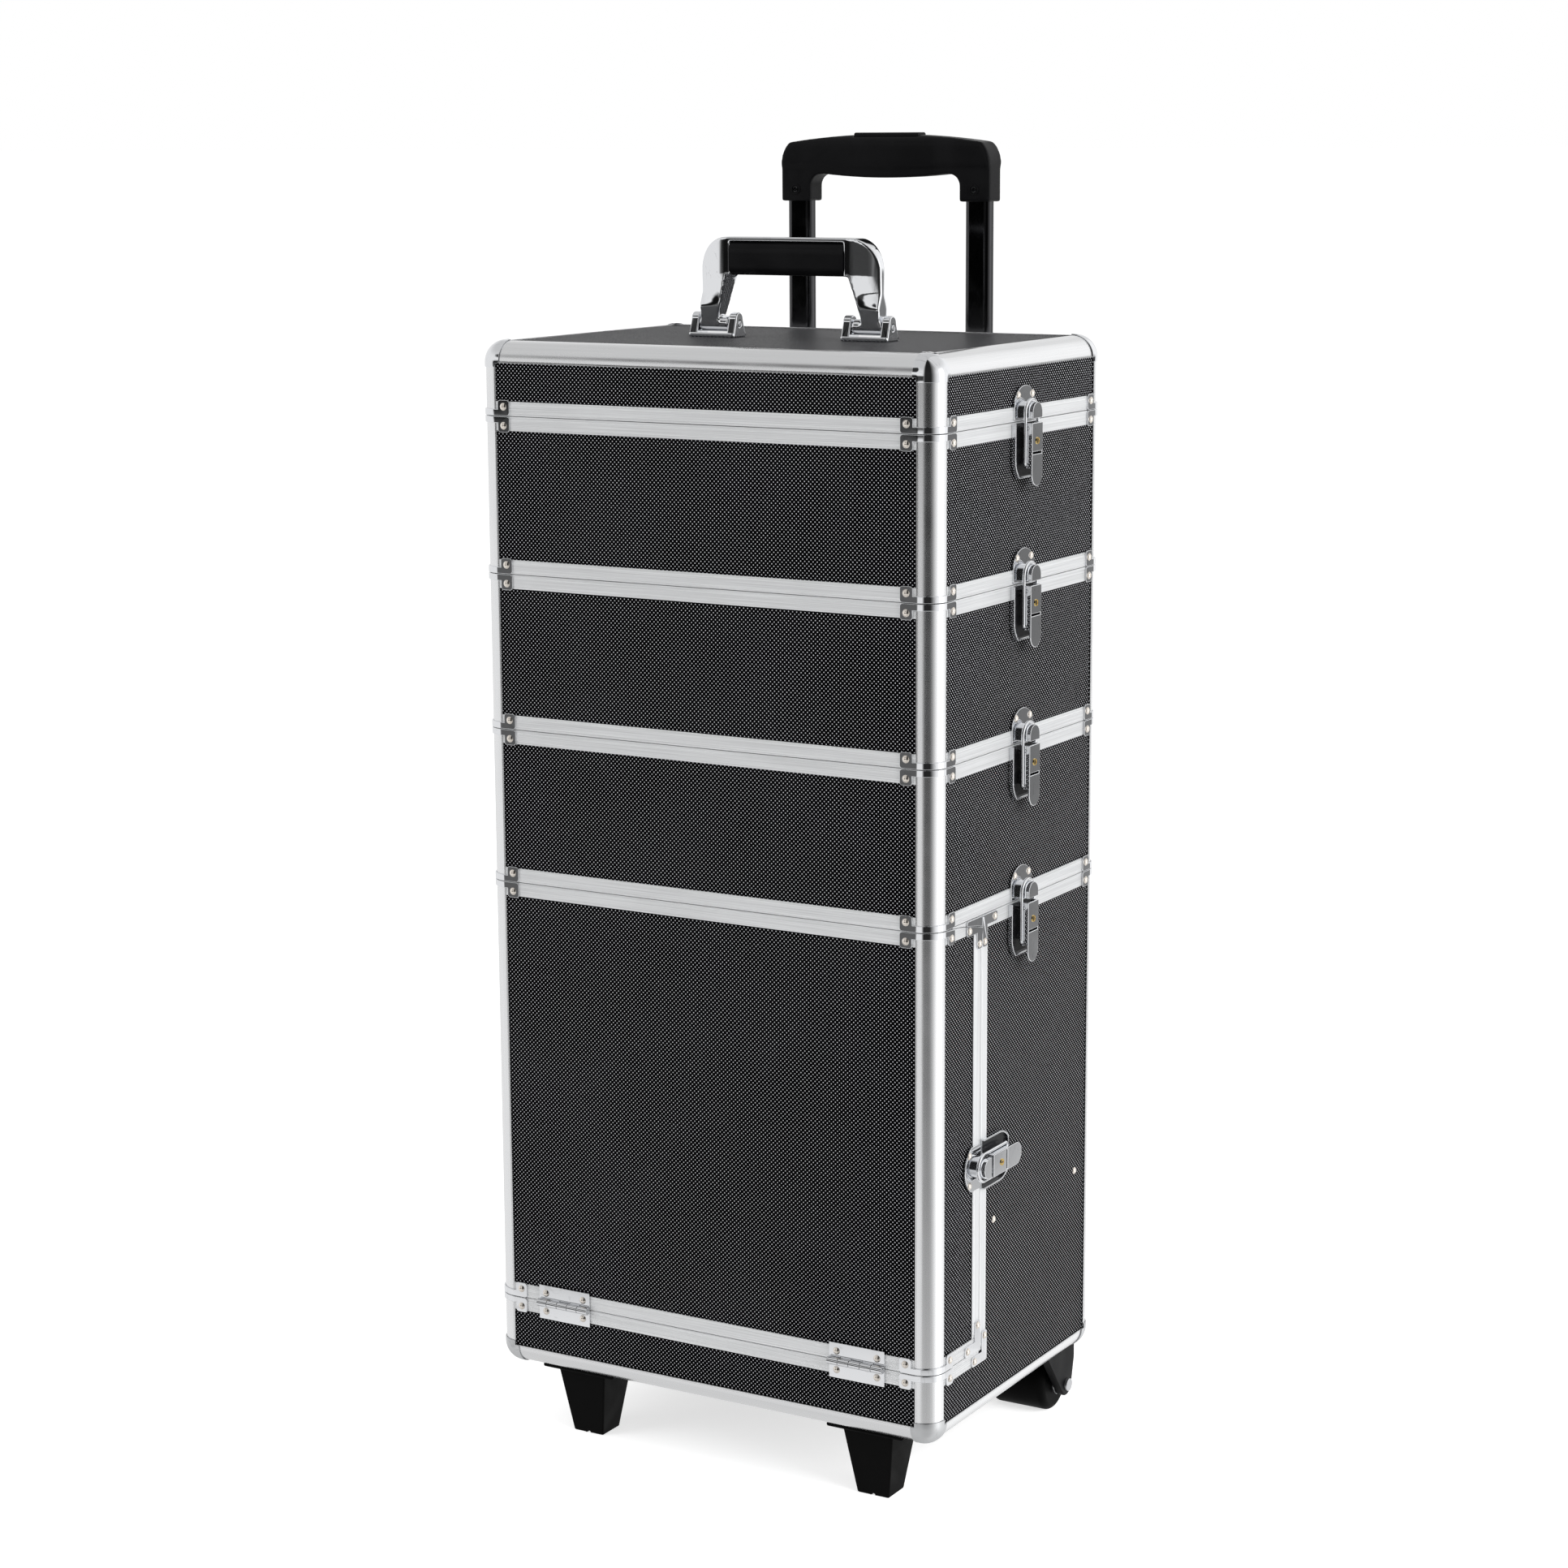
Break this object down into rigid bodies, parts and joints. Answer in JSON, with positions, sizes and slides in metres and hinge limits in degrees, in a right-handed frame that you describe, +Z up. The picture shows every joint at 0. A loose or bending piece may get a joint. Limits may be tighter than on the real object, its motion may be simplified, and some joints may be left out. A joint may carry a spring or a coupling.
{
  "type": "rolling makeup case",
  "caption": "Tall black and silver rolling make-up case with stacked lift-off tiers, a drop-down door with a drawer behind it, side latches, rollers and a telescopic handle.",
  "frame": {"origin": "floor, under the middle of the part's box", "axes": "+Z up, +X to the right of someone facing the door, -Y towards the front of the case"},
  "size_m": [0.3602, 0.2688, 0.8845],
  "materials": {
    "black_laminate": "black laminate with fine pale dots",
    "satin_aluminium": "satin, drawn",
    "matt_aluminium": "matt",
    "chrome": "polished",
    "black_plastic": "satin black",
    "black_tube": "gloss black",
    "roller_rubber": "matt black",
    "plain_steel": "zinc plated"
  },
  "bodies": {
    "base": {"base_panels": "black_laminate", "base_frame": "satin_aluminium", "base_corner_caps": "matt_aluminium", "base_fittings": "chrome", "hinge_base_leaves": "chrome", "front_feet": "black_plastic", "wheel_brackets": "black_plastic", "wheel_axles": "plain_steel", "drawer_rails": "plain_steel", "trolley_brackets": "black_plastic", "trolley_outer_tubes": "black_tube"},
    "door": {"door_panels": "black_laminate", "door_frame": "satin_aluminium", "door_fittings": "chrome", "hinge_door_leaves": "chrome"},
    "drawer": {"drawer_tray": "black_laminate", "drawer_runners": "plain_steel"},
    "lid": {"lid_panels": "black_laminate", "lid_frame": "satin_aluminium", "lid_corner_caps": "chrome", "lid_fittings": "chrome", "carry_handle_brackets": "chrome"},
    "carry_handle": {"carry_handle_frame": "chrome", "carry_handle_grip": "black_plastic"},
    "trolley_middle": {"trolley_middle_tubes": "black_tube"},
    "trolley_inner": {"trolley_inner_tubes": "black_tube", "trolley_grip": "black_plastic"},
    "trolley_button": {"trolley_button": "black_plastic"},
    "wheel_left": {"wheel_left": "roller_rubber"},
    "wheel_right": {"wheel_right": "roller_rubber"},
    "tier3": {"tier3_panels": "black_laminate", "tier3_frame": "satin_aluminium", "tier3_fittings": "chrome"},
    "tier2": {"tier2_panels": "black_laminate", "tier2_frame": "satin_aluminium", "tier2_fittings": "chrome"},
    "tier1": {"tier1_panels": "black_laminate", "tier1_frame": "satin_aluminium", "tier1_fittings": "chrome"},
    "lever_lid_left": {"lever_lid_left": "chrome"},
    "bail_lid_left": {"bail_lid_left": "chrome"},
    "lever_lid_right": {"lever_lid_right": "chrome"},
    "bail_lid_right": {"bail_lid_right": "chrome"},
    "lever_tier1_left": {"lever_tier1_left": "chrome"},
    "bail_tier1_left": {"bail_tier1_left": "chrome"},
    "lever_tier1_right": {"lever_tier1_right": "chrome"},
    "bail_tier1_right": {"bail_tier1_right": "chrome"},
    "lever_tier2_left": {"lever_tier2_left": "chrome"},
    "bail_tier2_left": {"bail_tier2_left": "chrome"},
    "lever_tier2_right": {"lever_tier2_right": "chrome"},
    "bail_tier2_right": {"bail_tier2_right": "chrome"},
    "lever_tier3_left": {"lever_tier3_left": "chrome"},
    "bail_tier3_left": {"bail_tier3_left": "chrome"},
    "lever_tier3_right": {"lever_tier3_right": "chrome"},
    "bail_tier3_right": {"bail_tier3_right": "chrome"},
    "lever_door_left": {"lever_door_left": "chrome"},
    "bail_door_left": {"bail_door_left": "chrome"},
    "lever_door_right": {"lever_door_right": "chrome"},
    "bail_door_right": {"bail_door_right": "chrome"}
  },
  "joints": [
    {"name": "tier3_lift", "type": "slide", "parent": "base", "child": "tier3", "axis": [0, 0, 1], "range_m": [0, 0.15]},
    {"name": "tier2_lift", "type": "slide", "parent": "tier3", "child": "tier2", "axis": [0, 0, 1], "range_m": [0, 0.15]},
    {"name": "tier1_lift", "type": "slide", "parent": "tier2", "child": "tier1", "axis": [0, 0, 1], "range_m": [0, 0.15]},
    {"name": "lid_lift", "type": "slide", "parent": "tier1", "child": "lid", "axis": [0, 0, 1], "range_m": [0, 0.15]},
    {"name": "door_drop", "type": "hinge", "parent": "base", "child": "door", "pos_m": [0, -0.13182, 0.0995], "axis": [1, 0, 0], "range_deg": [0, 108]},
    {"name": "drawer_slide", "type": "slide", "parent": "base", "child": "drawer", "axis": [0, -1, 0], "range_m": [0, 0.12]},
    {"name": "carry_handle_fold", "type": "hinge", "parent": "lid", "child": "carry_handle", "pos_m": [0, -0.01027, 0.76], "axis": [1, 0, 0], "range_deg": [-80, 80]},
    {"name": "trolley_middle_slide", "type": "slide", "parent": "base", "child": "trolley_middle", "axis": [0, 0, 1], "range_m": [-0.25, 0]},
    {"name": "trolley_inner_slide", "type": "slide", "parent": "trolley_middle", "child": "trolley_inner", "axis": [0, 0, 1], "range_m": [-0.1935, 0.05]},
    {"name": "trolley_button_press", "type": "slide", "parent": "trolley_inner", "child": "trolley_button", "axis": [0, 0, 1], "range_m": [-0.004, 0], "stiffness_N_per_m": 300, "springref_m": 0.002},
    {"name": "wheel_left_spin", "type": "hinge", "parent": "base", "child": "wheel_left", "pos_m": [-0.1275, 0.09423, 0.02], "axis": [1, 0, 0], "continuous": true},
    {"name": "wheel_right_spin", "type": "hinge", "parent": "base", "child": "wheel_right", "pos_m": [0.1275, 0.09423, 0.02], "axis": [1, 0, 0], "continuous": true},
    {"name": "lever_lid_left_open", "type": "hinge", "parent": "tier1", "child": "lever_lid_left", "pos_m": [-0.1766, -0.01027, 0.6995], "axis": [0, 1, 0], "range_deg": [0, 110]},
    {"name": "bail_lid_left_swing", "type": "hinge", "parent": "lever_lid_left", "child": "bail_lid_left", "pos_m": [-0.1757, -0.01027, 0.6765], "axis": [0, 1, 0], "range_deg": [-110, 0]},
    {"name": "lever_lid_right_open", "type": "hinge", "parent": "tier1", "child": "lever_lid_right", "pos_m": [0.1766, -0.01027, 0.6995], "axis": [0, -1, 0], "range_deg": [0, 110]},
    {"name": "bail_lid_right_swing", "type": "hinge", "parent": "lever_lid_right", "child": "bail_lid_right", "pos_m": [0.1757, -0.01027, 0.6765], "axis": [0, -1, 0], "range_deg": [-110, 0]},
    {"name": "lever_tier1_left_open", "type": "hinge", "parent": "tier2", "child": "lever_tier1_left", "pos_m": [-0.1766, -0.01027, 0.5955], "axis": [0, 1, 0], "range_deg": [0, 110]},
    {"name": "bail_tier1_left_swing", "type": "hinge", "parent": "lever_tier1_left", "child": "bail_tier1_left", "pos_m": [-0.1757, -0.01027, 0.5725], "axis": [0, 1, 0], "range_deg": [-110, 0]},
    {"name": "lever_tier1_right_open", "type": "hinge", "parent": "tier2", "child": "lever_tier1_right", "pos_m": [0.1766, -0.01027, 0.5955], "axis": [0, -1, 0], "range_deg": [0, 110]},
    {"name": "bail_tier1_right_swing", "type": "hinge", "parent": "lever_tier1_right", "child": "bail_tier1_right", "pos_m": [0.1757, -0.01027, 0.5725], "axis": [0, -1, 0], "range_deg": [-110, 0]},
    {"name": "lever_tier2_left_open", "type": "hinge", "parent": "tier3", "child": "lever_tier2_left", "pos_m": [-0.1766, -0.01027, 0.4915], "axis": [0, 1, 0], "range_deg": [0, 110]},
    {"name": "bail_tier2_left_swing", "type": "hinge", "parent": "lever_tier2_left", "child": "bail_tier2_left", "pos_m": [-0.1757, -0.01027, 0.4685], "axis": [0, 1, 0], "range_deg": [-110, 0]},
    {"name": "lever_tier2_right_open", "type": "hinge", "parent": "tier3", "child": "lever_tier2_right", "pos_m": [0.1766, -0.01027, 0.4915], "axis": [0, -1, 0], "range_deg": [0, 110]},
    {"name": "bail_tier2_right_swing", "type": "hinge", "parent": "lever_tier2_right", "child": "bail_tier2_right", "pos_m": [0.1757, -0.01027, 0.4685], "axis": [0, -1, 0], "range_deg": [-110, 0]},
    {"name": "lever_tier3_left_open", "type": "hinge", "parent": "base", "child": "lever_tier3_left", "pos_m": [-0.1766, -0.01027, 0.3875], "axis": [0, 1, 0], "range_deg": [0, 110]},
    {"name": "bail_tier3_left_swing", "type": "hinge", "parent": "lever_tier3_left", "child": "bail_tier3_left", "pos_m": [-0.1757, -0.01027, 0.3645], "axis": [0, 1, 0], "range_deg": [-110, 0]},
    {"name": "lever_tier3_right_open", "type": "hinge", "parent": "base", "child": "lever_tier3_right", "pos_m": [0.1766, -0.01027, 0.3875], "axis": [0, -1, 0], "range_deg": [0, 110]},
    {"name": "bail_tier3_right_swing", "type": "hinge", "parent": "lever_tier3_right", "child": "bail_tier3_right", "pos_m": [0.1757, -0.01027, 0.3645], "axis": [0, -1, 0], "range_deg": [-110, 0]},
    {"name": "lever_door_left_open", "type": "hinge", "parent": "base", "child": "lever_door_left", "pos_m": [-0.1766, -0.06177, 0.2255], "axis": [0, 0, 1], "range_deg": [0, 110]},
    {"name": "bail_door_left_swing", "type": "hinge", "parent": "lever_door_left", "child": "bail_door_left", "pos_m": [-0.1757, -0.03877, 0.2255], "axis": [0, 0, 1], "range_deg": [-110, 0]},
    {"name": "lever_door_right_open", "type": "hinge", "parent": "base", "child": "lever_door_right", "pos_m": [0.1766, -0.06177, 0.2255], "axis": [0, 0, -1], "range_deg": [0, 110]},
    {"name": "bail_door_right_swing", "type": "hinge", "parent": "lever_door_right", "child": "bail_door_right", "pos_m": [0.1757, -0.03877, 0.2255], "axis": [0, 0, -1], "range_deg": [-110, 0]}
  ],
  "couplings": [
    {"joint": "drawer_slide", "follows": "door_drop", "m_per_rad": 0.0636},
    {"joint": "bail_lid_left_swing", "follows": "lever_lid_left_open", "ratio": -1},
    {"joint": "bail_lid_right_swing", "follows": "lever_lid_right_open", "ratio": -1},
    {"joint": "bail_tier1_left_swing", "follows": "lever_tier1_left_open", "ratio": -1},
    {"joint": "bail_tier1_right_swing", "follows": "lever_tier1_right_open", "ratio": -1},
    {"joint": "bail_tier2_left_swing", "follows": "lever_tier2_left_open", "ratio": -1},
    {"joint": "bail_tier2_right_swing", "follows": "lever_tier2_right_open", "ratio": -1},
    {"joint": "bail_tier3_left_swing", "follows": "lever_tier3_left_open", "ratio": -1},
    {"joint": "bail_tier3_right_swing", "follows": "lever_tier3_right_open", "ratio": -1},
    {"joint": "bail_door_left_swing", "follows": "lever_door_left_open", "ratio": -1},
    {"joint": "bail_door_right_swing", "follows": "lever_door_right_open", "ratio": -1}
  ]
}
